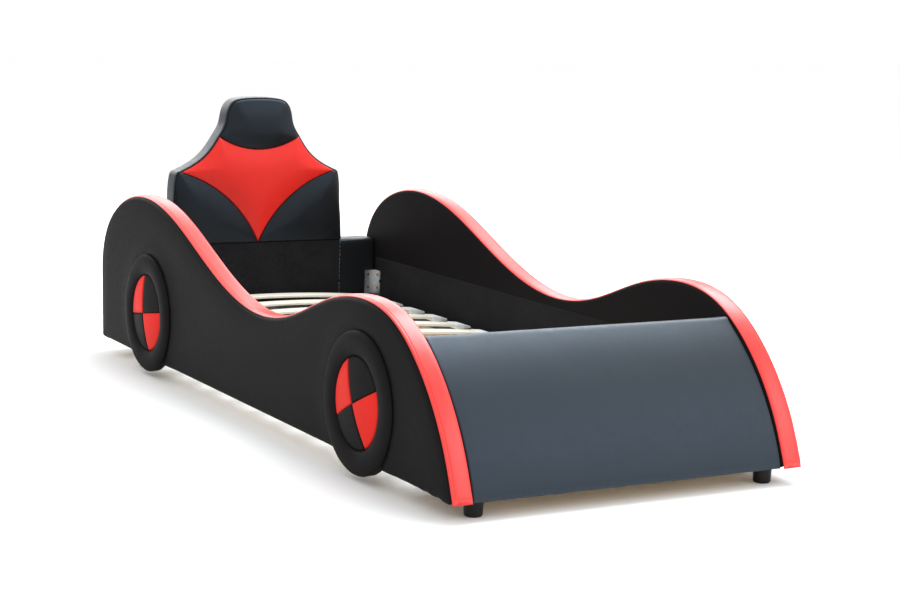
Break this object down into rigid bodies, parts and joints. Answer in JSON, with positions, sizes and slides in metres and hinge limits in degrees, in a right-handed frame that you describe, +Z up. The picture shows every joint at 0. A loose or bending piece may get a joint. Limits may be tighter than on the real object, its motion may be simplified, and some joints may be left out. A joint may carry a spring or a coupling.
{
  "type": "racing car bed",
  "caption": "Single child's bed shaped like a racing car: padded side panels with red edge strips, racing-seat headboard, sloping bonnet, padded wheels and a sprung slatted base.",
  "frame": {"origin": "on the floor, under the middle of the bed's bounding box", "axes": "+X to the right when looking from the foot end to the headboard, +Y from the foot end to the headboard, +Z up"},
  "size_m": [1.116, 2.408, 0.86],
  "materials": {
    "black_leathercloth": "matt fine grain leathercloth over thin foam",
    "red_leathercloth": "satin fine grain leathercloth over thin foam",
    "black_felt": "fuzzy non-woven cloth",
    "plywood": "unfinished plywood",
    "pine": "planed pine",
    "birch": "pale laminated birch, clear lacquer",
    "white_plastic": "natural white moulded plastic",
    "black_plastic": "moulded plastic",
    "black_steel": "black powder coat",
    "bright_zinc": "bright zinc plate",
    "yellow_zinc": "yellow zinc plate"
  },
  "bodies": {
    "root": {"base_centre_tube": "black_steel", "base_end_tubes": "black_steel", "base_side_tube_left": "black_steel", "base_side_tube_right": "black_steel", "bonnet_back_board": "plywood", "bonnet_bottom_rail": "pine", "bonnet_cover": "black_leathercloth", "bonnet_lining": "black_felt", "bonnet_ribs": "plywood", "bonnet_skin": "plywood", "bracket_screws": "yellow_zinc", "centre_legs": "black_steel", "corner_brackets": "bright_zinc", "foot_bolts": "bright_zinc", "foot_front_left": "black_plastic", "foot_front_right": "black_plastic", "foot_rear_left": "black_plastic", "foot_rear_right": "black_plastic", "headboard_board": "plywood", "headboard_cover": "black_leathercloth", "headboard_lining": "black_felt", "headboard_posts": "pine", "headboard_staples": "bright_zinc", "headrest_pad": "black_leathercloth", "hub_black_front_left": "black_leathercloth", "hub_black_front_right": "black_leathercloth", "hub_black_rear_left": "black_leathercloth", "hub_black_rear_right": "black_leathercloth", "hub_red_front_left": "red_leathercloth", "hub_red_front_right": "red_leathercloth", "hub_red_rear_left": "red_leathercloth", "hub_red_rear_right": "red_leathercloth", "ledger_left": "pine", "ledger_right": "pine", "ledger_screws": "bright_zinc", "seat_back_cover": "black_felt", "seat_board": "plywood", "seat_centre_pad": "red_leathercloth", "seat_gusset": "black_leathercloth", "seat_pad_left": "black_leathercloth", "seat_pad_right": "black_leathercloth", "side_board_left": "plywood", "side_board_right": "plywood", "side_cover_inner_left": "black_leathercloth", "side_cover_inner_right": "black_leathercloth", "side_cover_outer_left": "black_leathercloth", "side_cover_outer_right": "black_leathercloth", "side_lining_left": "black_felt", "side_lining_right": "black_felt", "side_trim_left": "red_leathercloth", "side_trim_right": "red_leathercloth", "slat_caps": "white_plastic", "slats": "birch", "tyre_ring_front_left": "black_leathercloth", "tyre_ring_front_right": "black_leathercloth", "tyre_ring_rear_left": "black_leathercloth", "tyre_ring_rear_right": "black_leathercloth", "wheel_boards_left": "plywood", "wheel_boards_right": "plywood"}
  },
  "joints": []
}
